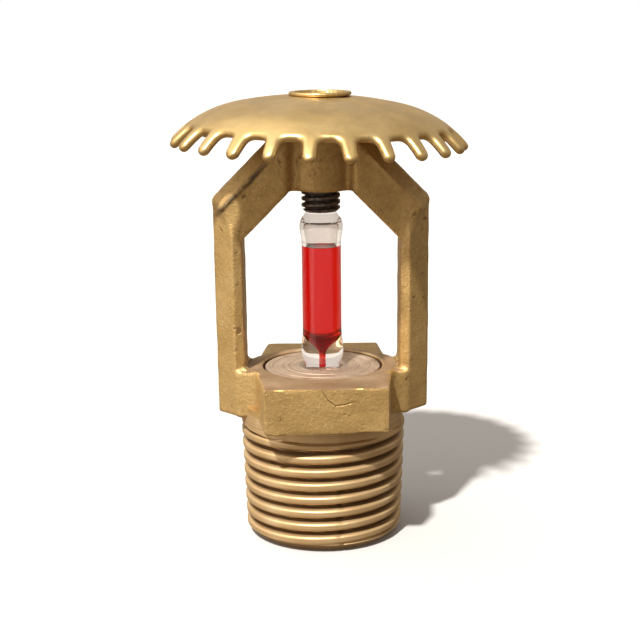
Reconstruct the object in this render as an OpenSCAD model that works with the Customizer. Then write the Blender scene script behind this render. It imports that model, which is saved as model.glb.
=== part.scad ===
// Fire sprinkler head: upright brass casting with a glass bulb, a valve cap and a toothed deflector.
// Millimetres. The origin is the centre of the inlet end face, +Z points up to the deflector,
// and the two frame arms stand at +X and -X.

/* [Inlet] */
// Diameter over the thread crests at the gauge plane
thread_d = 20.955; // [20.7:0.005:21.3]
// Distance from one thread crest to the next
thread_pitch = 1.814; // [1.7:0.001:1.85]
// Depth of the thread
thread_depth = 1.16; // [0.8:0.01:1.2]
// Height of the gauge plane above the inlet end
gauge_z = 8.2; // [7:0.1:9]
// Number of thread crests
thread_crests = 8; // [7:1:8]
// Diameter of the waterway
bore_d = 12.7; // [11:0.1:13]

/* [Wrench boss] */
// Height of the wrench boss's lower face
boss_z = 16.4; // [16.2:0.1:17]
// Height of the wrench boss's upper face
boss_top = 22.6; // [22.4:0.1:23]
// Distance across the two wrench flats
flats = 25.4; // [24:0.1:27]
// Width of each wrench flat
flat_w = 15.4; // [14:0.1:16]

/* [Frame arms] */
// Distance over the outsides of the two arms
arms_w = 27.2; // [26.5:0.1:28]
// Distance between the insides of the two arms
window_w = 19.6; // [19:0.1:20]
// Height of the shoulders where the arms turn in
shoulder_z = 44.3; // [43.5:0.1:45]
// Depth of the arms from front to back
arm_depth = 8.0; // [7:0.1:9]
// Width of the sloping arms
slope_w = 6.26; // [5.5:0.01:6.5]

/* [Head] */
// Diameter of the head that holds the screw
head_d = 7.8; // [7.4:0.1:8.2]
// Height of the head's lower face
head_z = 45.1; // [44.8:0.1:45.4]
// Height of the head's upper face
head_top = 55.5; // [55.2:0.1:55.5]

/* [Deflector] */
// Diameter over the tips of the teeth
deflector_d = 37.6; // [36:0.1:39]
// Number of teeth
teeth = 24; // [18:1:28]
// Width of each tooth at its root
tooth_w = 1.75; // [1.4:0.05:2]
// Length of the teeth across the dish
tooth_len = 2.35; // [1.5:0.05:2.6]
// Thickness of the sheet
sheet_t = 1.1; // [0.8:0.05:1.3]

/* [Screw and bulb] */
// Diameter over the crests of the screw's thread
screw_d = 4.9; // [4.8:0.01:4.94]
// Diameter of the screw's hole in the head
screw_hole_d = 5.0; // [5:0.01:5.04]
// Distance from one crest of the screw's thread to the next
screw_pitch = 0.8; // [0.7:0.05:0.8]
// Length of the screw
screw_len = 10; // [9:0.5:10.5]
// Across the flats of the hexagon socket
socket_af = 2.5; // [2:0.1:2.8]
// Diameter of the bulb's straight glass
bulb_d = 5.0; // [4.8:0.05:5.2]
// Thickness of the bulb's glass
glass_t = 0.55; // [0.4:0.05:0.7]
// Height of the liquid's upper face
liquid_z = 38.0; // [36:0.1:39]

/* [Valve] */
// Diameter of the valve cap
cap_d = 14.9; // [14.4:0.1:15.1]
// Diameter of the recess that the valve cap sits in
recess_d = 15.6; // [15.5:0.1:16]
// Height of the valve seat
seat_z = 20.0; // [19.8:0.1:20.2]

/* [Hidden] */
$fn = 96;
far = 40;            // a length that reaches past everything
cut = 0.5;           // how far a cutting shape runs past the face that it opens
brass = "darkgoldenrod";
bright_brass = "goldenrod";

bore_r = bore_d / 2;
bore_top = 18.5;     // where the bore narrows to the orifice
orifice_r = bore_r - 0.2;
bore_bevel = 1;
recess_r = recess_d / 2;
head_r = head_d / 2;

// Inlet thread: rings of the thread's section on a 1 in 16 taper
taper = 1 / 32;
first_crest_z = 1.75;
crest_flat = 0.32;
inlet_chamfer = 0.85;
shank_r = 10.2;
function crest_r(z) = thread_d / 2 + (z - gauge_z) * taper;
function crest_z(i) = first_crest_z + i * thread_pitch;

// Plan of the frame
flat_y = flats / 2;
boss_side = 0.9;     // how much wider the wrench boss is beside the arms than at its flats
arm_out = arms_w / 2;
arm_in = window_w / 2;
arm_y = arm_depth / 2;
arm_nose = 1.5;      // half of the narrow outer face of an arm
arm_ridge_x = 11.1;
arm_inner_y = 3.5;
web_y = 4.9;         // half-depth of the web between an arm and the wrench boss
slope_y = 3.7;
slope_edge = 1.26;   // width of the bevel along a sloping arm's outer edge
slope_ease = 0.4;    // size of the small bevels along its inner edges

// Front view of the frame: both slopes are at 45 degrees, so x + z is constant along them
slope_out = arm_out + shoulder_z;
slope_in = slope_out - slope_w * sqrt(2);

// Dish of the deflector: a shallow middle arc and a tighter arc at the rim, on one normal
dish_apex = 56.75;
dish_mid_r = 54;
dish_mid_a = 11.2;
dish_rim_r = 14;
dish_steps = 6;
dish_join_x = dish_mid_r * sin(dish_mid_a);
dish_join_z = dish_apex - dish_mid_r * (1 - cos(dish_mid_a));
dish_cx = dish_join_x - dish_rim_r * sin(dish_mid_a);
dish_cz = dish_join_z - dish_rim_r * cos(dish_mid_a);
dish_rim_a = asin((deflector_d / 2 - dish_cx) / dish_rim_r);
tooth_phase = -93.5; // where one tooth points, from +X
tooth_tip_w = 1.2;
tooth_root_r = deflector_d / 2 - tooth_len;

// Bushing that holds the deflector on the head
bush_flange_r = 3.92;
bush_flange_h = 0.47;
bush_r = 3.1;
bush_hole_r = 2.65;
bush_lip_r = 3.26;
bush_lip_h = 0.6;
bush_top = 57.14;
bush_seat = 53.6;    // how far down the bushing reaches into the head

// Screw
screw_z = 42.4;
screw_root_r = 2.02;
socket_depth = 3;
screw_tip_mouth_r = 1.87;
screw_tip_floor_r = 1.45;
screw_tip_depth = 0.9;

// Bulb: heights of its features, from the seat up
bulb_z = 20.9;
bulb_top = 43.2;
bulge_r = 2.75;
bulb_end_r = 1.35;
heel_r = 2.1;
heel_z = 21.5;
neck_r = 2.35;
neck_z = 22.9;
low_bulge_z = 24.7;
tube_z = 26.6;
tube_top = 38.6;
high_bulge_z = 40.6;
high_neck_z = 41.75;
tip_r = 1.8;
tip_z = 42.3;
cavity_r = bulb_d / 2 - glass_t;
cavity_z = 24.4;
cavity_top = 40.0;
capillary_r = 0.3;
capillary_z = 22.3;

// Valve parts
cap_top = 22.4;
cap_flange_z = 21.0;
cap_plug_r = 5.8;
cap_plug_z = 18.9;
insert_r = 3.4;
insert_z = 20.1;
insert_hole_r = 2.45;
spring_r = 7.3;
spring_hole_r = 6.2;
spring_t = 0.35;
film_t = 0.1;
spring_rise = 0.35;
stack_z = seat_z + 0.02;   // the lower film clears the seat by a hair

// A cone that cuts upwards from a face at height 0, and runs a little below it
module countersink(mouth_r, floor_r, depth) {
    slope = (mouth_r - floor_r) / depth;
    translate([0, 0, -cut]) cylinder(r1 = mouth_r + cut * slope, r2 = floor_r, h = depth + cut);
}

// One turn of the inlet thread's section
function thread_turn(i) = let (root_z = crest_z(i) - thread_pitch / 2, half = crest_flat / 2) [
    [crest_r(root_z) - thread_depth, root_z - half],
    [crest_r(root_z) - thread_depth, root_z + half],
    [crest_r(crest_z(i)), crest_z(i) - half],
    [crest_r(crest_z(i)), crest_z(i) + half]
];

module threaded_inlet() {
    profile = concat(
        [[0, 0], [crest_r(0) - thread_depth - inlet_chamfer / 2, 0]],
        [for (i = [0 : thread_crests - 1]) each thread_turn(i)],
        [[shank_r, crest_z(thread_crests) - thread_pitch / 3], [shank_r, boss_z + cut], [0, boss_z + cut]]
    );
    rotate_extrude() polygon(profile);
}

// Plan of the wrench boss: two flats, with sides that spread a little towards the arms
module boss_plan() {
    side_x = flat_w / 2 + boss_side;
    polygon([
        [-flat_w / 2, -flat_y], [flat_w / 2, -flat_y], [side_x, -web_y], [side_x, web_y],
        [flat_w / 2, flat_y], [-flat_w / 2, flat_y], [-side_x, web_y], [-side_x, -web_y]
    ]);
}

// Plan of one upright arm
module arm_plan() {
    polygon([
        [arm_in, -arm_inner_y], [arm_ridge_x, -arm_y], [arm_out, -arm_nose],
        [arm_out, arm_nose], [arm_ridge_x, arm_y], [arm_in, arm_inner_y]
    ]);
}

// Plan of the web that joins an arm's foot to the wrench boss
module web_plan() {
    side_x = flat_w / 2 + boss_side;
    polygon([
        [0, -web_y], [side_x, -web_y], [arm_ridge_x, -arm_y], [arm_out, -arm_nose],
        [arm_out, arm_nose], [arm_ridge_x, arm_y], [side_x, web_y], [0, web_y]
    ]);
}

// A front view, drawn in X and Z, made solid from front to back
module through_y() {
    rotate([90, 0, 0]) translate([0, 0, -far / 2]) linear_extrude(far) children();
}

// Section of a sloping arm, across its 45 degree run
module slope_section() {
    polygon([
        [0, -slope_y + slope_ease], [slope_ease, -slope_y], [slope_w - slope_edge, -slope_y],
        [slope_w, -arm_nose], [slope_w, arm_nose], [slope_w - slope_edge, slope_y],
        [slope_ease, slope_y], [0, slope_y - slope_ease]
    ]);
}

// One arm: the upright and the sloping part meet on the line between their two corners
module arm() {
    inner = [arm_in, slope_in - arm_in];
    outer = [arm_out, shoulder_z];
    intersection() {
        through_y() polygon([[arm_in, boss_z], [arm_out, boss_z], outer, inner]);
        linear_extrude(head_top) arm_plan();
    }
    intersection() {
        through_y() polygon([
            [0, head_z], [slope_in - head_z, head_z], inner, outer, [slope_out - head_top, head_top], [0, head_top]
        ]);
        translate([inner.x, 0, inner.y]) rotate([0, -45, 0])
            translate([0, 0, -far / 4]) linear_extrude(far) slope_section();
    }
    translate([0, 0, boss_z]) linear_extrude(boss_top - boss_z) web_plan();
}

module frame() {
    color(brass) difference() {
        union() {
            threaded_inlet();
            translate([0, 0, boss_z]) linear_extrude(boss_top - boss_z) boss_plan();
            arm();
            mirror([1, 0, 0]) arm();
            translate([0, 0, head_z]) cylinder(r = head_r, h = head_top - head_z);
        }
        translate([0, 0, -cut]) cylinder(r = bore_r, h = bore_top + cut);
        countersink(bore_r + bore_bevel, bore_r, bore_bevel);
        cylinder(r = orifice_r, h = seat_z + cut);
        translate([0, 0, seat_z]) cylinder(r = recess_r, h = boss_top - seat_z + cut);
        translate([0, 0, head_z - cut]) cylinder(d = screw_hole_d, h = head_top - head_z + 2 * cut);
        translate([0, 0, bush_seat]) cylinder(r = bush_r, h = head_top - bush_seat + cut);
    }
}

function dish_line(offset) = concat(
    [for (i = [0 : dish_steps - 1]) let (a = dish_mid_a * i / dish_steps)
        [(dish_mid_r - offset) * sin(a), dish_apex - dish_mid_r + (dish_mid_r - offset) * cos(a)]],
    [for (i = [0 : dish_steps]) let (a = dish_mid_a + (dish_rim_a - dish_mid_a) * i / dish_steps)
        [dish_cx + (dish_rim_r - offset) * sin(a), dish_cz + (dish_rim_r - offset) * cos(a)]]
);

function reversed(points) = [for (i = [len(points) - 1 : -1 : 0]) points[i]];

// The gap between two teeth, which opens towards the rim
module tooth_gap() {
    half_step = sin(180 / teeth);
    root_w = 2 * tooth_root_r * half_step - tooth_w;
    tip_r = deflector_d / 2 + cut;
    tip_w = 2 * tip_r * half_step - tooth_tip_w;
    corner = 0.4;
    polygon([
        [tooth_root_r, -root_w / 2 + corner], [tooth_root_r + corner, -root_w / 2], [tip_r, -tip_w / 2],
        [tip_r, tip_w / 2], [tooth_root_r + corner, root_w / 2], [tooth_root_r, root_w / 2 - corner]
    ]);
}

module deflector() {
    color(bright_brass) difference() {
        rotate_extrude() polygon(concat(dish_line(0), reversed(dish_line(sheet_t))));
        for (i = [0 : teeth - 1])
            rotate([0, 0, tooth_phase + (i + 0.5) * 360 / teeth])
                translate([0, 0, head_z]) linear_extrude(dish_apex - head_z) tooth_gap();
        translate([0, 0, head_z]) cylinder(r = bush_r, h = far);
    }
}

// A flanged tube: the flange clamps the dish, and the tube is pressed into the head
module deflector_bushing() {
    flange_z = bush_top - bush_flange_h;
    color(bright_brass) difference() {
        union() {
            translate([0, 0, bush_seat]) cylinder(r = bush_r, h = bush_top - bush_seat);
            translate([0, 0, flange_z]) cylinder(r = bush_flange_r, h = bush_flange_h);
        }
        translate([0, 0, bush_seat - cut]) cylinder(r = bush_hole_r, h = far);
        translate([0, 0, bush_top]) rotate([180, 0, 0]) countersink(bush_lip_r, bush_hole_r, bush_lip_h);
    }
}

module compression_screw() {
    turns = floor((screw_len - 1) / screw_pitch);
    first_z = 0.6;
    half_base = 0.3;
    half_crest = 0.07;
    profile = concat(
        [[0, 0], [screw_root_r, 0]],
        [for (i = [0 : turns - 1]) let (z = first_z + i * screw_pitch) each [
            [screw_root_r, z - half_base], [screw_d / 2, z - half_crest],
            [screw_d / 2, z + half_crest], [screw_root_r, z + half_base]
        ]],
        [[screw_root_r, screw_len], [0, screw_len]]
    );
    color("dimgray") translate([0, 0, screw_z]) difference() {
        rotate_extrude() polygon(profile);
        countersink(screw_tip_mouth_r, screw_tip_floor_r, screw_tip_depth);
        translate([0, 0, screw_len - socket_depth])
            cylinder(d = socket_af / cos(30), h = socket_depth + cut, $fn = 6);
    }
}

function bulb_line() = [
    [0, bulb_z], [bulb_end_r, bulb_z], [heel_r, heel_z], [neck_r, neck_z], [bulge_r, low_bulge_z],
    [bulb_d / 2, tube_z], [bulb_d / 2, tube_top], [bulge_r, high_bulge_z], [neck_r, high_neck_z],
    [tip_r, tip_z], [bulb_end_r, bulb_top], [0, bulb_top]
];

// The bulb's cavity up to a given height, with its funnel and fine bore at the lower end
module cavity(top_z) {
    rotate_extrude() polygon([
        [0, capillary_z], [capillary_r, capillary_z], [capillary_r, cavity_z], [cavity_r, tube_z],
        [cavity_r, top_z], [0, top_z]
    ]);
}

module glass_bulb() {
    color([0.85, 0.92, 0.95, 0.4]) difference() {
        rotate_extrude() polygon(bulb_line());
        cavity(cavity_top);
    }
}

module bulb_liquid() {
    color("crimson") cavity(liquid_z);
}

module valve_cap() {
    color("peru") difference() {
        union() {
            translate([0, 0, cap_flange_z]) cylinder(d = cap_d, h = cap_top - cap_flange_z);
            translate([0, 0, cap_plug_z]) cylinder(r = cap_plug_r, h = cap_top - cap_plug_z);
        }
        translate([0, 0, insert_z]) cylinder(r = insert_r, h = cap_top - insert_z + cut);
    }
}

// Steel cup that takes the load of the bulb's lower end
module bulb_seat_insert() {
    color("silver") difference() {
        translate([0, 0, insert_z]) cylinder(r = insert_r, h = cap_top - insert_z);
        translate([0, 0, bulb_z]) cylinder(r = insert_hole_r, h = cap_top - bulb_z + cut);
    }
}

// One washer of a stack of three thin cones, whose underside starts at base_z at its hole
module cone_washer(base_z, thick) {
    rotate_extrude() polygon([
        [spring_hole_r, base_z + spring_rise], [spring_r, base_z],
        [spring_r, base_z + thick], [spring_hole_r, base_z + spring_rise + thick]
    ]);
}

module lower_seal_film() {
    color("white") cone_washer(stack_z, film_t);
}

module disc_spring() {
    color("lightslategray") cone_washer(stack_z + film_t, spring_t);
}

module upper_seal_film() {
    color("white") cone_washer(stack_z + film_t + spring_t, film_t);
}

frame();
deflector();
deflector_bushing();
compression_screw();
glass_bulb();
bulb_liquid();
valve_cap();
bulb_seat_insert();
disc_spring();
upper_seal_film();
lower_seal_film();
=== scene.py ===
"""Fire sprinkler head: the visible pieces, materials, stage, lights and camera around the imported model.

Shapes are worked out in millimetres in the row frame (+Z up, origin at the inlet end) and stored in metres.
"""

import bmesh
import bpy
import numpy as np
from mathutils import Matrix, Vector


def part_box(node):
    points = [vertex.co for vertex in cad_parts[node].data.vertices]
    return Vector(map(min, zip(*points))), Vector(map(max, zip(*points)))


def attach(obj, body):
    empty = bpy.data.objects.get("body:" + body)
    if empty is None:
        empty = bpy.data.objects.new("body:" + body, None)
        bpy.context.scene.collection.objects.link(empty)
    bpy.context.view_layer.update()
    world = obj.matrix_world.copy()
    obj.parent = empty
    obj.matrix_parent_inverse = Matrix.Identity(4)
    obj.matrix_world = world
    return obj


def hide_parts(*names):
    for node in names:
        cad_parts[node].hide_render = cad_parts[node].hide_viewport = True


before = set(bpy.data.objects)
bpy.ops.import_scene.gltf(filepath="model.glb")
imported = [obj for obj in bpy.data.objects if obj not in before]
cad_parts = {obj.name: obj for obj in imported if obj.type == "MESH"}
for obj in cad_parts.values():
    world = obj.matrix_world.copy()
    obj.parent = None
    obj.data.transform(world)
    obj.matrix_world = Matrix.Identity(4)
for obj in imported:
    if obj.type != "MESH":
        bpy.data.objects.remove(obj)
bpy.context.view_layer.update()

MM = 0.001
ROOT, STACK, SCREW = "frame_body", "valve_stack", "load_screw"


def node_mm(name):
    """A CAD node's lowest and highest corners, in millimetres."""
    low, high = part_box(name)
    return np.array(low) / MM, np.array(high) / MM


_, FRAME_HI = node_mm("frame")
DISH_LO, DISH_HI = node_mm("deflector")
BUSH_LO, BUSH_HI = node_mm("deflector_bushing")
SCREW_LO, SCREW_HI = node_mm("compression_screw")
BULB_LO, BULB_HI = node_mm("glass_bulb")
CAP_LO, CAP_HI = node_mm("valve_cap")
INSERT_LO, INSERT_HI = node_mm("bulb_seat_insert")
_, LIQUID_HI = node_mm("bulb_liquid")

# ---------------------------------------------------------------- driving sizes, in millimetres

ARM_OUT = FRAME_HI[0]
ARM_IN = 9.8
ARM_RIDGE = 11.1
ARM_RIDGE_Y = 4.0
ARM_NOSE_Y = 1.5
ARM_INNER_Y = 3.5
SHOULDER_Z = 44.3
SLOPE_W = 6.26
SLOPE_Y = 3.6
FLAT_Y = FRAME_HI[1]
FLAT_HALF_W = 7.7
BOSS_SIDE = 0.9
WEB_Y = 4.9
BOSS_Z = 16.75
BOSS_TOP = 22.6
REAR_TOP = 22.15
RING_R = 8.95
HEAD_R = 3.9
HEAD_Z = 45.1
HEAD_TOP = FRAME_HI[2]

THREAD_PITCH = 1.814
THREAD_DEPTH = 1.16
THREAD_R = 20.955 / 2
THREAD_PHASE = 0.285
THREAD_START = (0.9, 1.7)
THREAD_END = (15.0, 15.3)
THREAD_END_LEAN = 0.44
GAUGE_Z = 8.2
TAPER = 1 / 32
SHANK_R = 10.25

BORE_R = 6.35
ORIFICE_R = 6.15
BORE_TOP = 18.5
RECESS_R = 7.8
SEAT_Z = 20.0
FACE_R = 9.65
FACE_Z = 22.48

DISH_R = DISH_HI[0]
DISH_APEX = 56.75
DISH_MID_R = 54.0
DISH_MID_A = np.radians(11.2)
DISH_RIM_R = 14.25
DISH_TILT = np.radians(1.5)
SHEET_T = 1.1
SHEET_EDGE = 0.62
TEETH = 24
TOOTH_PHASE = np.radians(-93.5)
TOOTH_LENGTH = 3.2
TOOTH_TRIM = 0.25
TOOTH_TIP_HALF = 0.80
TOOTH_ROOT_HALF = 0.94
NOTCH_FILLET = 0.95

BULGE_R = BULB_HI[0]
TUBE_R = 2.5
CAVITY_R = 1.97
CAVITY_TOP = 41.0
LIQUID_TOP = LIQUID_HI[2]
STEM_R = 0.26
STEM_LOW = 22.4

FRAME_GRID = 0.27
DISH_GRID = 0.19


# ---------------------------------------------------------------- fields: negative inside, positive outside


def soft_min(a, b, blend):
    """The smaller of two fields, with a fillet of about that size where they cross."""
    h = np.clip(0.5 + 0.5 * (b - a) / blend, 0, 1)
    return b + (a - b) * h - blend * h * (1 - h)


def soft_max(a, b, blend):
    """The larger of two fields, with a rounded edge where they cross."""
    return -soft_min(-a, -b, blend)


def plane_2d(u, v, start, end):
    """Distance from the line through two points, positive on the left of its direction."""
    du, dv = end[0] - start[0], end[1] - start[1]
    length = np.hypot(du, dv)
    return ((v - start[1]) * du - (u - start[0]) * dv) / length


def smooth_step(x, low, high):
    t = np.clip((x - low) / (high - low), 0, 1)
    return t * t * (3 - 2 * t)


def waves(x, y, z, scale, seed):
    """A gentle unevenness made of a few crossing sine waves, from -1 to 1."""
    rng = np.random.default_rng(seed)
    total = 0
    for _ in range(6):
        direction = rng.normal(size=3)
        direction *= rng.uniform(0.6, 1.5) / (np.linalg.norm(direction) * scale) * 2 * np.pi
        total = total + np.sin(x * direction[0] + y * direction[1] + z * direction[2] + rng.uniform(0, 6.28))
    return total / 6


def casting_field(x, y, z):
    """The frame as it comes from the mould, before it is turned and threaded."""
    a, b = np.abs(x), np.abs(y)
    slope_in = ARM_OUT + SHOULDER_Z - SLOPE_W * np.sqrt(2)
    underside = BOSS_Z + 0.02 * x - z

    # Upright part of an arm
    outer_facet = plane_2d(a, b, (ARM_OUT, ARM_NOSE_Y), (ARM_RIDGE, ARM_RIDGE_Y)) * -1
    inner_facet = plane_2d(a, b, (ARM_RIDGE, ARM_RIDGE_Y), (ARM_IN, ARM_INNER_Y)) * -1
    upright = soft_max(soft_max(outer_facet, inner_facet, 0.16), soft_max(a - ARM_OUT, ARM_IN - a, 0.2), 0.22)

    # Sloping part, with a low rim along its bevel, whose faces sink beside the head
    n = (a + z - slope_in) / np.sqrt(2)
    rim = 0.2 * np.exp(-(((n - SLOPE_W + 1.6) / 0.3) ** 2)) * smooth_step(a, 5.0, 7.5)
    face_y = SLOPE_Y + rim - 1.4 * (1 - smooth_step(a, 2.9, 4.6))
    bevel = plane_2d(n, b, (SLOPE_W, ARM_NOSE_Y), (SLOPE_W - 1.45, SLOPE_Y)) * -1
    slope = soft_max(soft_max(b - face_y, bevel, 0.12), soft_max(n - SLOPE_W, -n, 0.2), 0.22)

    # The two parts change into each other across the line between the arm's two corners
    mitre = plane_2d(a, z, (ARM_IN, slope_in - ARM_IN), (ARM_OUT, SHOULDER_Z))
    change = smooth_step(mitre, -0.7, 0.6)
    arm = upright * (1 - change) + slope * change
    arm = soft_max(arm, underside, 0.25)

    head = soft_max(np.hypot(x, y) - HEAD_R, np.maximum(HEAD_Z - z, z - HEAD_TOP), 0.4)
    top = np.maximum(soft_min(arm, head, 0.9), z - HEAD_TOP)

    # Wrench boss, its front a little askew as cast, and the webs that join it to the arms
    front = np.clip(-y / FLAT_Y, 0, 1)
    across = np.abs(x - 0.45 * front)
    flat = np.maximum(y, 0.03 * x - y) - FLAT_Y
    lid = z - (REAR_TOP + (BOSS_TOP - REAR_TOP) * (1 - smooth_step(y, 1.0, 5.0)))
    sides = plane_2d(across, b, (FLAT_HALF_W, FLAT_Y), (FLAT_HALF_W + BOSS_SIDE, WEB_Y))
    boss = soft_max(soft_max(sides, soft_max(lid, underside, 0.1), 0.45), flat, 0.16)
    web_side = plane_2d(a, b, (ARM_RIDGE, ARM_RIDGE_Y), (FLAT_HALF_W + BOSS_SIDE, WEB_Y)) * -1
    web_plan = np.maximum(np.maximum(web_side, outer_facet), a - ARM_OUT + 1.6)
    web = soft_max(web_plan, soft_max(lid, underside, 0.1), 0.25)
    ring = np.maximum(np.maximum(np.hypot(x, y) - RING_R, z - BOSS_TOP), underside)
    base = soft_min(soft_min(boss, web, 1.0), ring, 0.3)
    fillet = 0.06 + 0.9 * (1 - smooth_step(a, 10.4, 11.3))
    return soft_min(top, base, fillet)


def frame_field(x, y, z):
    """The casting with its unevenness, and torn metal on the boss beside the arms."""
    uneven = 0.045 * waves(x, y, z, 9.0, 3) + 0.03 * waves(x, y, z, 3.0, 8) + 0.012 * waves(x, y, z, 1.1, 5)
    torn = np.exp(-(((np.abs(x) - 10.0) / 0.9) ** 2) - ((y + 1.5) / 3.4) ** 2 - ((z - 22.7) / 0.7) ** 2)
    torn = torn * (0.22 * waves(x, y, z, 1.0, 21) + 0.1)
    return casting_field(x, y, z) + 0.06 + uneven + torn


def dish_place(r, z):
    """Height over the dish's upper face and distance along its meridian from the join of its arcs."""
    join_r = DISH_MID_R * np.sin(DISH_MID_A)
    join_z = DISH_APEX - DISH_MID_R * (1 - np.cos(DISH_MID_A))
    rim_x = join_r - DISH_RIM_R * np.sin(DISH_MID_A)
    rim_z = join_z - DISH_RIM_R * np.cos(DISH_MID_A)
    angle = np.arctan2(r - rim_x, z - rim_z)
    over_mid = np.hypot(r, z - (DISH_APEX - DISH_MID_R)) - DISH_MID_R
    over_rim = np.hypot(r - rim_x, z - rim_z) - DISH_RIM_R
    over = np.where(angle < DISH_MID_A, over_mid, over_rim)
    along = (angle - DISH_MID_A) * (DISH_RIM_R - SHEET_T / 2)
    return over, along, np.arcsin((DISH_R + 0.1 - rim_x) / DISH_RIM_R)


def dish_field(x, y, z):
    """The pressed dish. It sits a little lower on its right, as it was swaged."""
    lift = z - DISH_APEX
    x, z = (
        x * np.cos(DISH_TILT) - lift * np.sin(DISH_TILT),
        x * np.sin(DISH_TILT) + lift * np.cos(DISH_TILT) + DISH_APEX,
    )
    r = np.hypot(x, y)
    over, along, tip_angle = dish_place(r, z)
    over = over + 0.035 * waves(x, y, z, 11.0, 4) + 0.02 * waves(x, y, z, 4.0, 6)
    tip = (tip_angle - DISH_MID_A) * (DISH_RIM_R - SHEET_T / 2) - TOOTH_TRIM
    root = tip - TOOTH_LENGTH
    step = 2 * np.pi / TEETH
    turns = (np.arctan2(y, x) - TOOTH_PHASE) / step + 0.5
    number = np.floor(turns)
    across = np.abs((turns - number - 0.5) * step) * r
    t = np.clip((along - root) / (tip - TOOTH_TIP_HALF - root), 0, 1)
    half = (TOOTH_ROOT_HALF + (TOOTH_TIP_HALF - TOOTH_ROOT_HALF) * t) * (1 + 0.05 * np.sin(2.3 * number))
    beyond = np.maximum(along - (tip - TOOTH_TIP_HALF), 0)
    tooth = np.hypot(across, beyond) - half
    plan = soft_min(along - root, tooth, NOTCH_FILLET)
    sheet = np.abs(over + SHEET_T / 2) - SHEET_T / 2
    return np.maximum(soft_max(sheet, plan, SHEET_EDGE), BUSH_HI[0] - 0.75 - r)


# ---------------------------------------------------------------- meshes


def surface_net(field, low, high, step):
    """Points and quads on the zero surface of a field, with the points moved onto it exactly."""
    low, high = np.array(low, float), np.array(high, float)
    count = np.ceil((high - low) / step).astype(int) + 1
    axes = [low[i] + step * np.arange(count[i]) for i in range(3)]
    grid = np.empty(count, np.float32)
    for k in range(0, count[2], 24):
        x, y, z = np.meshgrid(axes[0], axes[1], axes[2][k : k + 24], indexing="ij", sparse=True)
        grid[:, :, k : k + 24] = field(x, y, z)
    inside = grid < 0
    cells = tuple(count - 1)
    filled = np.zeros(cells, np.uint8)
    corners = [(i, j, k) for i in (0, 1) for j in (0, 1) for k in (0, 1)]
    for i, j, k in corners:
        filled += inside[i : i + cells[0], j : j + cells[1], k : k + cells[2]]
    at = np.argwhere((filled > 0) & (filled < 8))
    values = {c: grid[tuple((at + c).T)] for c in corners}
    total, crossings = np.zeros((len(at), 3)), np.zeros(len(at))
    for c in corners:
        for axis in range(3):
            if c[axis]:
                continue
            d = tuple(1 if i == axis else c[i] for i in range(3))
            crossed = (values[c] < 0) != (values[d] < 0)
            t = np.where(crossed, values[c] / np.where(crossed, values[c] - values[d], 1), 0)
            point = np.array(c, float) + t[:, None] * (np.array(d) - np.array(c))
            total += point * crossed[:, None]
            crossings += crossed
    points = low + step * (at + total / crossings[:, None])

    number = np.full(cells, -1, np.int64)
    number[tuple(at.T)] = np.arange(len(at))
    quads = []
    for axis in range(3):
        u, v = (axis + 1) % 3, (axis + 2) % 3
        lower = [slice(None)] * 3
        upper = [slice(None)] * 3
        lower[axis], upper[axis] = slice(0, -1), slice(1, None)
        edge = np.argwhere(inside[tuple(lower)] != inside[tuple(upper)])
        edge = edge[(edge[:, u] > 0) & (edge[:, v] > 0) & (edge[:, u] < cells[u]) & (edge[:, v] < cells[v])]
        ring = []
        for du, dv in ((1, 1), (0, 1), (0, 0), (1, 0)):
            cell = edge.copy()
            cell[:, u] -= du
            cell[:, v] -= dv
            ring.append(number[tuple(cell.T)])
        quad = np.stack(ring, 1)
        starts_inside = inside[tuple(edge.T)]
        quad[~starts_inside] = quad[~starts_inside][:, ::-1]
        quads.append(quad)

    nudge = step * 0.05
    for _ in range(4):
        x, y, z = points.T
        here = field(x, y, z)
        slope = np.stack(
            [
                field(x + nudge, y, z) - field(x - nudge, y, z),
                field(x, y + nudge, z) - field(x, y - nudge, z),
                field(x, y, z + nudge) - field(x, y, z - nudge),
            ],
            1,
        ) / (2 * nudge)
        shift = slope * (here / np.maximum((slope**2).sum(1), 0.05))[:, None]
        longest = np.linalg.norm(shift, axis=1, keepdims=True)
        points = points - shift * np.minimum(1, step * 0.4 / np.maximum(longest, 1e-9))
    return points, np.concatenate(quads)


def mesh_object(name, points, faces):
    """A new object from points in millimetres. It is scaled to metres by finish_piece."""
    mesh = bpy.data.meshes.new(name)
    mesh.from_pydata([tuple(p) for p in points], [], [tuple(int(i) for i in f) for f in faces])
    mesh.update()
    obj = bpy.data.objects.new(name, mesh)
    bpy.context.scene.collection.objects.link(obj)
    return obj


def revolve(name, profile, steps=192, wobble=None):
    """A turned solid from a closed or axis-to-axis outline of (radius, height), in order.

    wobble(angle, radius, height) gives a new radius, for a thread or an uneven edge."""
    profile = np.array(profile, float)
    angles = np.arange(steps) * 2 * np.pi / steps
    points, index = [], []
    for r, z in profile:
        if r < 1e-6:
            index.append([len(points)] * steps)
            points.append((0, 0, z))
            continue
        radii = np.full(steps, r) if wobble is None else wobble(angles, r, z)
        index.append(list(range(len(points), len(points) + steps)))
        points.extend(zip(radii * np.cos(angles), radii * np.sin(angles), np.full(steps, z)))
    closed = profile[0][0] > 1e-6 or profile[-1][0] > 1e-6
    rows = list(range(len(profile)))
    pairs = list(zip(rows, rows[1:] + ([0] if closed else [])))
    faces = []
    for i, j in pairs:
        for s in range(steps):
            t = (s + 1) % steps
            face = [index[i][s], index[i][t], index[j][t], index[j][s]]
            face = list(dict.fromkeys(face))
            if len(face) > 2:
                faces.append(face)
    obj = mesh_object(name, points, faces)
    tool = bmesh.new()
    tool.from_mesh(obj.data)
    bmesh.ops.recalc_face_normals(tool, faces=tool.faces)
    tool.to_mesh(obj.data)
    tool.free()
    return obj


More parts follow.
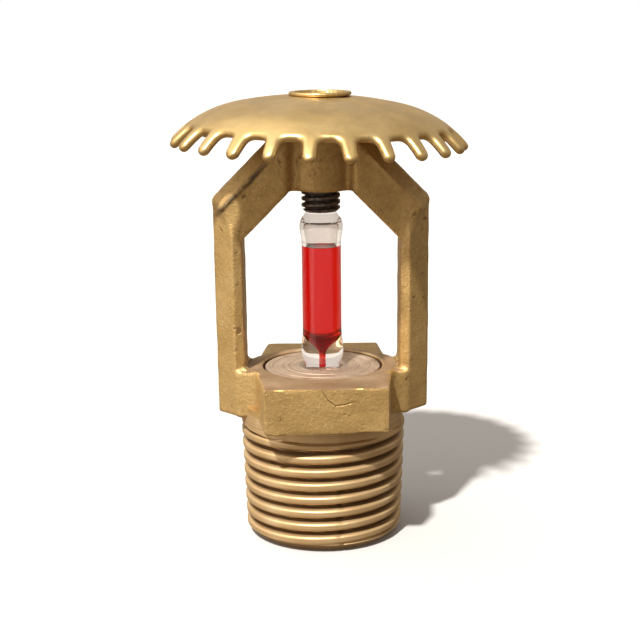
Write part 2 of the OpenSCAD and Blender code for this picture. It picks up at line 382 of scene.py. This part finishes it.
def arc(centre, radius, start, end, steps):
    """Points of (radius, height) along an arc, with its angles in degrees from the +radius direction."""
    angles = np.radians(np.linspace(start, end, steps))
    return [(centre[0] + radius * np.cos(t), centre[1] + radius * np.sin(t)) for t in angles]


def thread_profile(phase):
    """Height of a rounded thread from -1 at its root to 1 at its crest, for a phase from 0 to 1."""
    flank = 1.62 - 4.7 * np.abs(phase - 0.5)
    return np.clip(1.03 * np.tanh(2.3 * flank) + 0.05 * flank - 0.06, -1, 1)


def boolean(obj, other, operation):
    """Applies a boolean with another object, which is then deleted."""
    modifier = obj.modifiers.new("cut", "BOOLEAN")
    modifier.object = other
    modifier.operation = operation
    modifier.solver = "MANIFOLD"
    depsgraph = bpy.context.evaluated_depsgraph_get()
    mesh = bpy.data.meshes.new_from_object(obj.evaluated_get(depsgraph))
    obj.modifiers.clear()
    obj.data = mesh
    bpy.data.objects.remove(other, do_unlink=True)


def finish_piece(obj, body, replaced, materials, sharp=40):
    """Scales a piece to metres, shades it, gives it its materials and ties it to its body."""
    obj.data.transform(Matrix.Scale(MM, 4))
    obj.data.materials.clear()
    for material in materials:
        obj.data.materials.append(material)
    obj.data.shade_smooth()
    obj.data.set_sharp_from_angle(angle=np.radians(sharp))
    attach(obj, body)
    for node in replaced:
        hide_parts(node)
    return obj


# ---------------------------------------------------------------- materials


class Nodes:
    """Short calls for building a material's node tree."""

    def __init__(self, name):
        self.material = bpy.data.materials.new(name)
        self.material.use_nodes = True
        self.tree = self.material.node_tree
        self.shader = self.tree.nodes["Principled BSDF"]
        self.where = self.add("ShaderNodeTexCoord").outputs["Object"]

    def add(self, kind, links=None, **settings):
        node = self.tree.nodes.new(kind)
        for key, value in settings.items():
            setattr(node, key, value)
        for socket, value in (links or {}).items():
            self.put(node.inputs[socket], value)
        return node

    def put(self, socket, value):
        if isinstance(value, bpy.types.NodeSocket):
            self.tree.links.new(value, socket)
        else:
            socket.default_value = value

    def noise(self, scale, detail=4.0, rough=0.55, distortion=0.0, where=None):
        """A noise whose scale is given as features per millimetre."""
        node = self.add(
            "ShaderNodeTexNoise",
            {
                "Vector": where or self.where,
                "Scale": scale / MM,
                "Detail": detail,
                "Roughness": rough,
                "Distortion": distortion,
            },
        )
        return node.outputs["Fac"]

    def ramp(self, value, *stops):
        """A colour ramp through (position, colour or grey) stops."""
        node = self.add("ShaderNodeValToRGB", {"Fac": value})
        elements = node.color_ramp.elements
        while len(elements) < len(stops):
            elements.new(0.5)
        for element, (position, colour) in zip(elements, stops):
            element.position = position
            element.color = (*colour, 1) if isinstance(colour, tuple) else (colour,) * 3 + (1,)
        return node.outputs["Color"]

    def mix(self, factor, a, b, blend="MIX"):
        node = self.add("ShaderNodeMix", data_type="RGBA", blend_type=blend)
        self.put(node.inputs["Factor"], factor)
        self.put(node.inputs[6], (*a, 1) if isinstance(a, tuple) else a)
        self.put(node.inputs[7], (*b, 1) if isinstance(b, tuple) else b)
        return node.outputs[2]

    def math(self, operation, a, b=0.0, clamp=False):
        node = self.add("ShaderNodeMath", operation=operation, use_clamp=clamp)
        self.put(node.inputs[0], a)
        self.put(node.inputs[1], b)
        return node.outputs[0]

    def bump(self, height, depth_mm, strength=1.0, below=None):
        links = {"Height": height, "Distance": depth_mm * MM, "Strength": strength}
        if below is not None:
            links["Normal"] = below
        return self.add("ShaderNodeBump", links).outputs["Normal"]

    def streak(self):
        """A dark line along the bevel of the left sloping arm, from 0 to 1."""
        split = self.add("ShaderNodeSeparateXYZ", {"Vector": self.where})
        across = self.math("SUBTRACT", split.outputs[2], split.outputs[0])
        drift = self.math("MULTIPLY", self.noise(0.25, 2), 0.8 * MM)
        bevel = (ARM_OUT + SHOULDER_Z - 2.05) * MM
        across = self.math("SUBTRACT", self.math("ADD", across, drift), bevel)
        away = self.math("MULTIPLY", self.math("ABSOLUTE", across), 1 / MM)
        near = self.ramp(away, (0.25, 1.0), (0.6, 0.0))
        height = self.math("MULTIPLY", split.outputs[2], 0.01 / MM)
        part = self.ramp(height, (0.41, 0.0), (0.43, 0.85), (0.475, 0.85), (0.51, 0.0))
        patchy = self.ramp(self.noise(0.7, 3), (0.35, 0.35), (0.55, 1.0))
        return self.math("MULTIPLY", self.math("MULTIPLY", near, part), patchy)

    def turning(self):
        """Distance from the vertical axis, and height."""
        split = self.add("ShaderNodeSeparateXYZ", {"Vector": self.where})
        squares = [self.math("POWER", split.outputs[i], 2.0) for i in (0, 1)]
        return self.math("SQRT", self.math("ADD", *squares)), split.outputs[2]

    def crack(self):
        """A hairline crack that runs down the front flat and off to the right, from 0 to 1."""
        start, width, tall = -0.5, 5.5, 24.0
        split = self.add("ShaderNodeSeparateXYZ", {"Vector": self.where})
        along = self.math("MULTIPLY", self.math("SUBTRACT", split.outputs[0], start * MM), 1 / (width * MM))
        wander = self.math("MULTIPLY", self.noise(0.9, 3), 0.05)
        path = [(0.03, 23.0), (0.09, 22.2), (0.2, 21.1), (0.38, 20.4), (0.6, 20.55), (0.8, 20.9), (1.0, 20.7)]
        shifted = self.math("ADD", along, self.math("SUBTRACT", wander, 0.025))
        height = self.ramp(shifted, *[(a, z / tall) for a, z in path])
        away = self.math("SUBTRACT", self.math("MULTIPLY", split.outputs[2], 1 / (tall * MM)), height)
        near = self.ramp(self.math("MULTIPLY", self.math("ABSOLUTE", away), tall), (0.04, 1.0), (0.14, 0.0))
        front = self.math("LESS_THAN", split.outputs[1], (0.4 - FLAT_Y) * MM)
        ends = self.ramp(along, (0.02, 0.0), (0.05, 1.0), (0.7, 0.8), (0.9, 0.0))
        return self.math("MULTIPLY", self.math("MULTIPLY", near, front), ends)

    def occlusion(self, distance_mm):
        """From 0 in corners to 1 on open faces."""
        node = self.add("ShaderNodeAmbientOcclusion", {"Distance": distance_mm * MM}, samples=6)
        return node.outputs["AO"]


def cast_brass():
    """The sandy skin of the casting, with painted shade in its corners, pits, a streak and a crack."""
    m = Nodes("cast_brass")
    blotch = m.noise(0.16, 3)
    grain = m.noise(1.6, 6, 0.7)
    low, middle, high = (0.47, 0.305, 0.115), (0.56, 0.375, 0.145), (0.63, 0.44, 0.19)
    colour = m.ramp(blotch, (0.3, low), (0.5, middle), (0.72, high))
    colour = m.mix(m.ramp(grain, (0.35, 0.42), (0.55, 0.0)), colour, (0.32, 0.195, 0.075))
    speck = m.ramp(m.noise(2.8, 4, 0.7), (0.58, 0.0), (0.7, 0.55))
    colour = m.mix(speck, colour, (0.86, 0.66, 0.32))
    # painted shade: the colour darkens in corners and recesses, driven by ambient occlusion
    painted_corner_shade = m.ramp(m.occlusion(2.2), (0.25, 0.7), (0.75, 0.0))
    colour = m.mix(painted_corner_shade, colour, (0.22, 0.115, 0.05))
    colour = m.mix(m.streak(), colour, (0.07, 0.05, 0.035))
    pits = m.ramp(m.noise(0.9, 2, 0.5), (0.66, 0.0), (0.74, 1.0))
    crack = m.crack()
    colour = m.mix(m.math("MULTIPLY", pits, 0.6), colour, (0.16, 0.09, 0.04))
    colour = m.mix(m.math("MULTIPLY", crack, 0.75), colour, (0.15, 0.085, 0.035))
    m.put(m.shader.inputs["Base Color"], colour)
    m.put(m.shader.inputs["Metallic"], 0.72)
    m.put(m.shader.inputs["Roughness"], m.ramp(grain, (0.3, 0.55), (0.7, 0.38)))
    coarse = m.bump(m.noise(0.55, 3), 0.12, 0.45)
    fine = m.bump(m.noise(2.6, 5, 0.7), 0.13, 0.7, coarse)
    m.put(m.shader.inputs["Normal"], m.bump(m.math("MAXIMUM", pits, crack), -0.08, 0.6, fine))
    return m.material


def turned_brass(name, low, middle, high, roughness):
    """Cut brass: fine lines round the axis, pinker than the cast skin."""
    m = Nodes(name)
    radius, height = m.turning()
    lines_at = m.add("ShaderNodeCombineXYZ", {"X": radius, "Y": height, "Z": 0.0}).outputs[0]
    lines = m.noise(5.0, 3, 0.6, where=lines_at)
    blotch = m.noise(0.22, 3)
    colour = m.ramp(blotch, (0.3, low), (0.55, middle), (0.75, high))
    colour = m.mix(m.ramp(lines, (0.3, 0.6), (0.55, 0.0)), colour, (0.38, 0.225, 0.11))
    # painted shade: the colour darkens in corners and recesses, driven by ambient occlusion
    painted_corner_shade = m.ramp(m.occlusion(1.3), (0.2, 0.85), (0.7, 0.0))
    colour = m.mix(painted_corner_shade, colour, (0.17, 0.095, 0.045))
    m.put(m.shader.inputs["Base Color"], colour)
    m.put(m.shader.inputs["Metallic"], 0.7)
    m.put(m.shader.inputs["Roughness"], m.ramp(lines, (0.3, roughness + 0.07), (0.7, roughness - 0.07)))
    nicks = m.bump(m.noise(0.8, 4, 0.6), 0.06, 0.35)
    m.put(m.shader.inputs["Normal"], m.bump(lines, 0.035, 0.7, nicks))
    return m.material


def pressed_brass():
    """Smooth sheet brass with soft clouds of tarnish."""
    m = Nodes("pressed_brass")
    blotch = m.noise(0.12, 4, 0.6)
    fine = m.noise(1.2, 5, 0.7)
    low, middle, high = (0.56, 0.385, 0.15), (0.66, 0.47, 0.20), (0.74, 0.55, 0.27)
    colour = m.ramp(blotch, (0.3, low), (0.5, middle), (0.7, high))
    colour = m.mix(m.ramp(fine, (0.3, 0.25), (0.55, 0.0)), colour, (0.48, 0.31, 0.12))
    # painted shade: the colour darkens in corners and recesses, driven by ambient occlusion
    painted_corner_shade = m.ramp(m.occlusion(1.6), (0.3, 0.55), (0.8, 0.0))
    colour = m.mix(painted_corner_shade, colour, (0.25, 0.15, 0.06))
    m.put(m.shader.inputs["Base Color"], colour)
    m.put(m.shader.inputs["Metallic"], 0.95)
    m.put(m.shader.inputs["Roughness"], m.ramp(m.noise(0.35, 4), (0.3, 0.44), (0.7, 0.30)))
    soft = m.bump(m.noise(0.25, 3), 0.10, 0.35)
    m.put(m.shader.inputs["Normal"], m.bump(m.noise(3.0, 4, 0.6), 0.015, 0.5, soft))
    return m.material


def black_steel():
    """Blackened steel, a little worn."""
    m = Nodes("black_steel")
    worn = m.ramp(m.noise(2.0, 4), (0.4, (0.075, 0.062, 0.054)), (0.7, (0.21, 0.18, 0.155)))
    m.put(m.shader.inputs["Base Color"], worn)
    m.put(m.shader.inputs["Metallic"], 0.7)
    m.put(m.shader.inputs["Roughness"], m.ramp(m.noise(3.0, 3), (0.3, 0.5), (0.7, 0.32)))
    m.put(m.shader.inputs["Normal"], m.bump(m.noise(6.0, 3), 0.02, 0.5))
    return m.material


def turned_copper():
    """The valve cap: a lathe-cut face with rings, pink-brown."""
    m = Nodes("turned_copper")
    radius, _ = m.turning()
    ring_at = m.add("ShaderNodeCombineXYZ", {"X": radius, "Y": 0.0, "Z": 0.0}).outputs[0]
    rings = m.noise(2.4, 4, 0.6, where=ring_at)
    smear = m.noise(0.3, 4, 0.6, 0.8)
    low, middle, high = (0.46, 0.33, 0.235), (0.62, 0.475, 0.355), (0.74, 0.60, 0.46)
    colour = m.ramp(smear, (0.3, low), (0.52, middle), (0.75, high))
    colour = m.mix(m.ramp(rings, (0.35, 0.6), (0.55, 0.0)), colour, (0.36, 0.24, 0.16))
    m.put(m.shader.inputs["Base Color"], colour)
    m.put(m.shader.inputs["Metallic"], 0.85)
    m.put(m.shader.inputs["Roughness"], m.ramp(rings, (0.3, 0.62), (0.7, 0.5)))
    m.put(m.shader.inputs["Normal"], m.bump(smear, 0.12, 0.5, m.bump(rings, 0.04, 0.4)))
    return m.material


def plain_metal(name, low, high, roughness):
    """Bare metal between two tones."""
    m = Nodes(name)
    m.put(m.shader.inputs["Base Color"], m.ramp(m.noise(1.0, 4), (0.35, low), (0.65, high)))
    m.put(m.shader.inputs["Metallic"], 1.0)
    worn = m.ramp(m.noise(2.0, 3), (0.3, roughness + 0.1), (0.7, roughness - 0.06))
    m.put(m.shader.inputs["Roughness"], worn)
    m.put(m.shader.inputs["Normal"], m.bump(m.noise(4.0, 3), 0.02, 0.4))
    return m.material


def bulb_glass():
    """Clear, slightly wavy glass with a warm grey cast."""
    m = Nodes("bulb_glass")
    m.put(m.shader.inputs["Base Color"], (0.82, 0.775, 0.74, 1))
    m.put(m.shader.inputs["Roughness"], m.ramp(m.noise(0.6, 2), (0.4, 0.0), (0.8, 0.02)))
    m.put(m.shader.inputs["IOR"], 1.49)
    m.put(m.shader.inputs["Transmission Weight"], 1.0)
    m.put(m.shader.inputs["Normal"], m.bump(m.noise(0.25, 2), 0.05, 0.25))
    return m.material


def red_liquid():
    """The bulb's dyed filling."""
    m = Nodes("red_liquid")
    red = m.ramp(m.noise(0.1, 2), (0.3, (0.78, 0.001, 0.003)), (0.7, (0.82, 0.001, 0.004)))
    m.put(m.shader.inputs["Base Color"], red)
    m.put(m.shader.inputs["Roughness"], 0.0)
    m.put(m.shader.inputs["IOR"], 1.38)
    m.put(m.shader.inputs["Transmission Weight"], 1.0)
    return m.material


def film_white():
    """Fluoropolymer film, off-white and satin."""
    m = Nodes("seal_film")
    white = m.ramp(m.noise(0.8, 3), (0.3, (0.80, 0.80, 0.77)), (0.7, (0.90, 0.90, 0.88)))
    m.put(m.shader.inputs["Base Color"], white)
    m.put(m.shader.inputs["Roughness"], m.ramp(m.noise(1.5, 2), (0.3, 0.5), (0.7, 0.38)))
    m.put(m.shader.inputs["Normal"], m.bump(m.noise(3.0, 2), 0.01, 0.4))
    return m.material


CAST = cast_brass()
TURNED = turned_brass("turned_brass", (0.58, 0.39, 0.19), (0.68, 0.485, 0.25), (0.78, 0.59, 0.35), 0.47)
FACED = turned_brass("faced_brass", (0.30, 0.19, 0.10), (0.44, 0.30, 0.175), (0.60, 0.45, 0.30), 0.58)
PRESSED = pressed_brass()
BLACK = black_steel()
COPPER = turned_copper()
STEEL = plain_metal("insert_steel", (0.62, 0.49, 0.38), (0.78, 0.66, 0.54), 0.46)
NICKEL = plain_metal("spring_nickel", (0.48, 0.47, 0.45), (0.60, 0.59, 0.57), 0.26)
GLASS = bulb_glass()
LIQUID = red_liquid()
FILM = film_white()


# ---------------------------------------------------------------- pieces


def threaded_shank():
    """The inlet end: a tapered helix that starts in a plain collar and runs out below the boss."""
    pitch_r = THREAD_R - THREAD_DEPTH / 2
    nick_angle, nick_width, nick_depth, nick_top = 4.93, 0.03, 0.3, 9

    def threaded(angles, radius, z):
        turns = z / THREAD_PITCH - angles / (2 * np.pi) + THREAD_PHASE
        profile = thread_profile(turns % 1.0)
        profile = profile + (1 - profile) * (1 - smooth_step(z, *THREAD_START))
        r = pitch_r + (z - GAUGE_Z) * TAPER + THREAD_DEPTH / 2 * profile
        last = smooth_step(z - THREAD_END_LEAN * np.sin(angles), *THREAD_END)
        blank = smooth_step(np.cos(angles + 2.75), 0.72, 0.9)
        r = r * (1 - last) + (SHANK_R + 0.42 * blank) * last
        off_nick = (angles - nick_angle + 0.03 * np.sin(9 * z)) / nick_width
        nick = np.exp(-(off_nick**2)) * max(0.0, np.sin(3.4 * z - 1.0))
        r = r - nick_depth * nick * (z < nick_top)
        return np.minimum(r, radius)

    rows = np.linspace(0.0, BOSS_Z + 1.2, 170)
    outline = [(0, 0), *[(8.9 + 1.15 * z, z) for z in rows], (0, rows[-1])]
    return revolve("shank", outline, 320, threaded)


def waterway():
    """Everything that is bored out from below and turned out of the boss, as a solid to take away."""
    outline = [
        (0, -1), (BORE_R + 1.8, -1), (BORE_R + 1.0, -0.01), (BORE_R, 1.0), (BORE_R, BORE_TOP),
        (ORIFICE_R, BORE_TOP + 0.1), (ORIFICE_R, SEAT_Z), (RECESS_R, SEAT_Z), (RECESS_R, FACE_Z - 0.15),
        (RECESS_R + 0.15, FACE_Z), (FACE_R, FACE_Z), (FACE_R + 0.05, BOSS_TOP + 0.3), (0, BOSS_TOP + 0.3),
    ]
    return revolve("waterway", outline, 256)


def screw_hole():
    """The screw's hole through the head, wider above for the bushing's tube."""
    hole_r, tube_r = 2.5, 3.1
    outline = [
        (0, HEAD_Z - 1), (hole_r + 0.25, HEAD_Z - 1), (hole_r, HEAD_Z + 0.25), (hole_r, BUSH_LO[2]),
        (tube_r, BUSH_LO[2]), (tube_r, HEAD_TOP + 1), (0, HEAD_TOP + 1),
    ]
    return revolve("screw_hole", outline, 96)


def sort_frame_faces(mesh):
    """Gives the turned faces of the frame the second material and the faced top of the boss the third."""
    count = len(mesh.polygons)
    centre, normal = np.empty(count * 3), np.empty(count * 3)
    mesh.polygons.foreach_get("center", centre)
    mesh.polygons.foreach_get("normal", normal)
    _, y, z = centre.reshape(-1, 3).T / MM
    r = np.hypot(*centre.reshape(-1, 3).T[:2]) / MM
    upward = normal.reshape(-1, 3)[:, 2] > 0.8
    turned = (z < BOSS_Z + 0.3) & (r < SHANK_R + 0.55)
    turned |= (r < RECESS_R + 0.3) & (z < BOSS_TOP)
    turned |= (r < BORE_R + 0.1) & (z < FACE_Z)
    faced = upward & (z < BOSS_TOP + 0.05) & (z > FACE_Z - 0.6) & ((r < FACE_R + 0.3) | (y < 0))
    mesh.polygons.foreach_set("material_index", np.where(faced, 2, turned).astype(np.int32))


def make_frame():
    """The casting, turned, bored and threaded, as one closed mesh."""
    margin = 0.6
    points, quads = surface_net(
        frame_field,
        (-ARM_OUT - margin, -FLAT_Y - margin, BOSS_Z - margin),
        (ARM_OUT + margin, FLAT_Y + margin, HEAD_TOP + margin),
        FRAME_GRID,
    )
    casting = mesh_object("frame_casting", points, quads)
    boolean(casting, threaded_shank(), "UNION")
    boolean(casting, waterway(), "DIFFERENCE")
    boolean(casting, screw_hole(), "DIFFERENCE")
    casting.name = "frame_casting"
    finish_piece(casting, ROOT, ["frame"], [CAST, TURNED, FACED], 38)
    sort_frame_faces(casting.data)
    return casting


def make_deflector():
    """Toothed dish, pressed from one sheet."""
    margin = 0.5
    points, quads = surface_net(
        dish_field,
        (-DISH_R - margin, -DISH_R - margin, DISH_LO[2] - margin),
        (DISH_R + margin, DISH_R + margin, DISH_HI[2] + margin),
        DISH_GRID,
    )
    dish = mesh_object("deflector_dish", points, quads)
    return finish_piece(dish, ROOT, ["deflector"], [PRESSED], 50)


def make_bushing():
    """Turned bushing that holds the dish: a tube in the head and a swaged flange with a rough edge."""
    flange_r, top = BUSH_HI[0], BUSH_HI[2]
    tube_r, hole_r, lip_r = 3.1, 2.65, 3.2
    flange_z = top - 0.47
    outline = [
        (hole_r, BUSH_LO[2]), (tube_r, BUSH_LO[2]), (tube_r, flange_z),
        *arc((flange_r - 0.2, flange_z + 0.2), 0.2, -90, 0, 5),
        *arc((flange_r - 0.22, top - 0.22), 0.22, 0, 90, 6),
        *arc((lip_r + 0.12, top - 0.12), 0.12, 90, 180, 5),
        (lip_r - 0.1, top - 0.3), (hole_r, top - 0.62),
    ]

    def rough_edge(angles, radius, z):
        if radius < lip_r:
            return np.full(len(angles), radius)
        burr = 0.03 * np.sin(7 * angles + 1) + 0.02 * np.sin(17 * angles) + 0.03 * np.sin(31 * angles + z)
        return radius - 0.06 + burr * np.clip(np.cos(angles), 0.15, 1)

    bush = revolve("deflector_bush", outline, 192, rough_edge)
    return finish_piece(bush, ROOT, ["deflector_bushing"], [PRESSED])


def make_screw():
    """Set screw with a helix, a hexagon socket above and a hollow cone below that holds the bulb's tip."""
    low, high = SCREW_LO[2], SCREW_HI[2]
    crest, root, pitch = SCREW_HI[0], 1.98, 0.8
    rows = np.linspace(low, high, 130)

    def threaded(angles, radius, z):
        if z <= low + 1e-6 or z >= high - 1e-6 or radius < root:
            return np.full(len(angles), radius)
        phase = ((z - low) / pitch - angles / (2 * np.pi)) % 1.0
        r = (crest + root) / 2 + (crest - root) / 2 * thread_profile(phase)
        return np.minimum(r, radius)

    ends = [(min(crest, root + 0.05 + 1.1 * min(z - low, high - z)), z) for z in rows]
    outline = [(0, low + 0.9), (1.45, low + 0.9), (1.87, low + 0.02), *ends, (0, high)]
    screw = revolve("load_screw_m5", outline, 160, threaded)
    socket_r = 1.25 / np.cos(np.pi / 6)
    socket = [
        (0, high - 3.4), (socket_r, high - 3), (socket_r, high - 0.2), (socket_r + 0.35, high + 0.15),
        (0, high + 0.15),
    ]
    boolean(screw, revolve("socket", socket, 6), "DIFFERENCE")
    return finish_piece(screw, SCREW, ["compression_screw"], [BLACK])


def smooth_line(stops, steps=10):
    """A Catmull-Rom curve of (radius, height) through its stops."""
    stops = np.array(stops, float)
    padded = np.vstack([2 * stops[0] - stops[1], stops, 2 * stops[-1] - stops[-2]])
    out = []
    for i in range(1, len(padded) - 2):
        p0, p1, p2, p3 = padded[i - 1 : i + 3]
        for t in np.linspace(0, 1, steps, endpoint=False):
            square = (2 * p0 - 5 * p1 + 4 * p2 - p3) * t**2
            cube = (3 * p1 - p0 - 3 * p2 + p3) * t**3
            out.append(0.5 * (2 * p1 + (p2 - p0) * t + square + cube))
    out.append(stops[-1])
    out = np.array(out)
    out[:, 0] = np.maximum(out[:, 0], 0)
    return [tuple(p) for p in out]


def make_bulb():
    """Clear glass with its cavity: outer skin from the foot up, inner skin from the stem up."""
    foot, tip = BULB_LO[2], BULB_HI[2]
    outer = smooth_line([
        (0, foot + 0.02), (1.3, foot + 0.12), (1.98, foot + 0.7), (2.33, 22.6), (2.63, 23.5),
        (BULGE_R - 0.01, 24.5), (2.56, 26.2), (TUBE_R, 27.4), (TUBE_R, 32), (TUBE_R, 37.6), (2.56, 39.0),
        (BULGE_R - 0.01, 40.3),
        (2.62, 41.2), (2.15, 41.95), (1.72, 42.5), (1.3, tip - 0.12), (0, tip - 0.02),
    ])
    skin = revolve("bulb", outer, 128)
    cavity = smooth_line([
        (0, STEM_LOW), (STEM_R, STEM_LOW + 0.1), (STEM_R, 23.6), (0.34, 24.3), (0.8, 25.0), (1.55, 25.9),
        (CAVITY_R, 27.0), (CAVITY_R, 30), (CAVITY_R, 37.5), (CAVITY_R + 0.04, 38.6), (CAVITY_R + 0.15, 39.6),
        (CAVITY_R + 0.18, 40.3), (2.0, 40.85), (1.6, 40.98), (0.8, CAVITY_TOP), (0, CAVITY_TOP),
    ], 8)
    boolean(skin, revolve("cavity", cavity, 128), "DIFFERENCE")
    skin.name = "glass_bulb_5mm"
    return finish_piece(skin, STACK, ["glass_bulb"], [GLASS], 75)


def make_liquid():
    """Red filling that wets the glass, with a raised rim at its surface and a fine stem below its funnel."""
    wet = 0.012
    side = smooth_line([
        (0, STEM_LOW + 0.02), (STEM_R + wet, STEM_LOW + 0.12), (STEM_R + wet, 23.6), (0.34 + wet, 24.3),
        (0.8 + wet, 25.0), (1.55 + wet, 25.9), (CAVITY_R + wet, 27.0), (CAVITY_R + wet, 30),
        (CAVITY_R + wet, LIQUID_TOP),
    ], 8)
    surface = [(CAVITY_R - 0.35 * t, LIQUID_TOP - 0.12 * (1 - (1 - t) ** 2)) for t in (0.3, 0.6, 1.0)]
    liquid = revolve("bulb_filling", [*side, *surface, (0, LIQUID_TOP - 0.14)], 128)
    return finish_piece(liquid, STACK, ["bulb_liquid"], [LIQUID], 60)


def make_cap():
    """Valve cap: a turned face with grooves, an insert hole and a plug below."""
    top, low, rim = CAP_HI[2], CAP_LO[2], CAP_HI[0]
    hole = INSERT_HI[0]

    def face(radius):
        rings = 0.035 * np.sin(radius * 7.2) + 0.02 * np.sin(radius * 19.0 + 1)
        outer_groove = 0.16 * np.exp(-(((radius - 6.35) / 0.16) ** 2))
        inner_groove = 0.08 * np.exp(-(((radius - 4.9) / 0.12) ** 2))
        groove = outer_groove + inner_groove
        return top - 0.06 - groove + min(0.0, rings) - 0.05 * smooth_step(radius, rim - 0.5, rim)

    radii = np.linspace(hole, rim - 0.12, 90)
    outline = [
        (0, low), (5.8, low), (5.8, 21.0), (rim, 21.0), (rim, top - 0.2),
        *[(r, face(r)) for r in radii[::-1]], (hole, INSERT_LO[2]), (0, INSERT_LO[2]),
    ]
    cap = revolve("valve_cap_disc", outline, 256)
    return finish_piece(cap, STACK, ["valve_cap"], [COPPER], 50)


def make_insert():
    """Steel cup in the cap that the bulb's foot stands in."""
    low, top, rim = INSERT_LO[2], INSERT_HI[2], INSERT_HI[0]
    outline = [
        (0, low), (rim, low), (rim, top - 0.12), (rim - 0.1, top - 0.04), (3.05, top - 0.02),
        (2.95, top - 0.14), (2.62, top - 0.18), (2.42, top - 0.45), (2.40, 21.6), (2.2, 21.0), (0, 20.9),
    ]
    insert = revolve("bulb_foot_cup", outline, 160)
    return finish_piece(insert, STACK, ["bulb_seat_insert"], [STEEL], 50)


def paint_cad(node, material):
    """A CAD node that keeps its own shape gets a finished material."""
    for mesh_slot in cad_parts[node].material_slots:
        mesh_slot.material = material


make_frame()
make_deflector()
make_bushing()
make_screw()
make_bulb()
make_liquid()
make_cap()
make_insert()
paint_cad("disc_spring", NICKEL)
paint_cad("upper_seal_film", FILM)
paint_cad("lower_seal_film", FILM)


# ---------------------------------------------------------------- stage, lights and camera


def make_stage():
    """A plain pale floor, just under the inlet end so that the two faces don't coincide."""
    mesh = bpy.data.meshes.new("floor")
    half = 1.2
    corners = [(-half, -half, 0), (half, -half, 0), (half, half, 0), (-half, half, 0)]
    mesh.from_pydata(corners, [], [(0, 1, 2, 3)])
    floor = bpy.data.objects.new("floor", mesh)
    bpy.context.scene.collection.objects.link(floor)
    floor.location.z = -0.02 * MM
    m = Nodes("pale_floor")
    m.put(m.shader.inputs["Base Color"], m.ramp(m.noise(0.004, 3), (0.3, 0.50), (0.7, 0.52)))
    m.put(m.shader.inputs["Roughness"], 0.9)
    m.put(m.shader.inputs["Specular IOR Level"], 0.1)
    mesh.materials.append(m.material)
    floor.visible_glossy = False
    floor.visible_diffuse = False


def far_light(name, azimuth, elevation, width, strength, colour):
    """A distant lamp. Azimuth 0 is in front and positive is to the left; width is its angle in the sky."""
    turn, rise = np.radians(azimuth), np.radians(elevation)
    towards = Vector((-np.sin(turn) * np.cos(rise), -np.cos(turn) * np.cos(rise), np.sin(rise)))
    light = bpy.data.lights.new(name, "SUN")
    light.energy = strength
    light.angle = np.radians(width)
    light.color = colour
    obj = bpy.data.objects.new(name, light)
    obj.location = towards * 0.5
    obj.rotation_euler = towards.to_track_quat("Z", "Y").to_euler()
    bpy.context.scene.collection.objects.link(obj)


def make_world():
    """White where it is seen directly or through the glass, and a dimmer warm room for everything else."""
    world = bpy.data.worlds.new("studio")
    world.use_nodes = True
    nodes, links = world.node_tree.nodes, world.node_tree.links
    background = nodes["Background"]
    rays = nodes.new("ShaderNodeLightPath")
    where = nodes.new("ShaderNodeTexCoord")
    split = nodes.new("ShaderNodeSeparateXYZ")
    links.new(where.outputs["Generated"], split.inputs[0])
    ramp = nodes.new("ShaderNodeMapRange")
    ramp.inputs["From Min"].default_value = -0.6
    ramp.inputs["From Max"].default_value = 0.9
    links.new(split.outputs["Z"], ramp.inputs["Value"])
    room = nodes.new("ShaderNodeMix")
    room.data_type = "RGBA"
    room.inputs[6].default_value = (0.30, 0.225, 0.155, 1)
    room.inputs[7].default_value = (0.74, 0.68, 0.61, 1)
    links.new(ramp.outputs["Result"], room.inputs["Factor"])
    side = nodes.new("ShaderNodeMapRange")
    side.inputs["From Min"].default_value = -1.0
    side.inputs["To Min"].default_value = 1.15
    side.inputs["To Max"].default_value = 0.62
    links.new(split.outputs["X"], side.inputs["Value"])
    dimmed = nodes.new("ShaderNodeVectorMath")
    dimmed.operation = "SCALE"
    links.new(room.outputs[2], dimmed.inputs[0])
    links.new(side.outputs["Result"], dimmed.inputs["Scale"])
    colour = dimmed.outputs["Vector"]
    for ray, shown in (("Is Transmission Ray", (0.86, 0.79, 0.73, 1)), ("Is Camera Ray", (1, 1, 1, 1))):
        pick = nodes.new("ShaderNodeMix")
        pick.data_type = "RGBA"
        pick.inputs[7].default_value = shown
        links.new(rays.outputs[ray], pick.inputs["Factor"])
        links.new(colour, pick.inputs[6])
        colour = pick.outputs[2]
    links.new(colour, background.inputs["Color"])
    bpy.context.scene.world = world


def make_lights():
    far_light("key", 24, 53, 3.0, 6.4, (1.0, 0.96, 0.90))
    far_light("fill", 60, 15, 60.0, 0.6, (1.0, 0.95, 0.90))
    far_light("top_left", 120, 55, 50.0, 0.5, (1.0, 0.98, 0.95))
    make_world()


def make_camera():
    """A close camera in front of the object, above it and tilted down."""
    camera = bpy.data.cameras.new("camera")
    obj = bpy.data.objects.new("camera", camera)
    bpy.context.scene.collection.objects.link(obj)
    bpy.context.scene.camera = obj
    distance, height = 173.27, 68.21
    tilt, lean = np.radians(16.31), np.radians(-0.6)
    camera.sensor_width = 36.0
    camera.lens = 77.355
    camera.shift_x, camera.shift_y = -0.00453, 0.125
    camera.clip_start, camera.clip_end = 0.01, 10.0
    obj.location = (0, -distance * MM, height * MM)
    forward = Vector((0, np.cos(tilt), -np.sin(tilt)))
    right = Vector((1, 0, 0))
    up = right.cross(forward)
    right_leaned = np.cos(lean) * right + np.sin(lean) * up
    up_leaned = -np.sin(lean) * right + np.cos(lean) * up
    obj.rotation_euler = Matrix((right_leaned, up_leaned, -forward)).transposed().to_euler()


make_stage()
make_lights()
make_camera()
bpy.context.scene.view_settings.view_transform = "Standard"
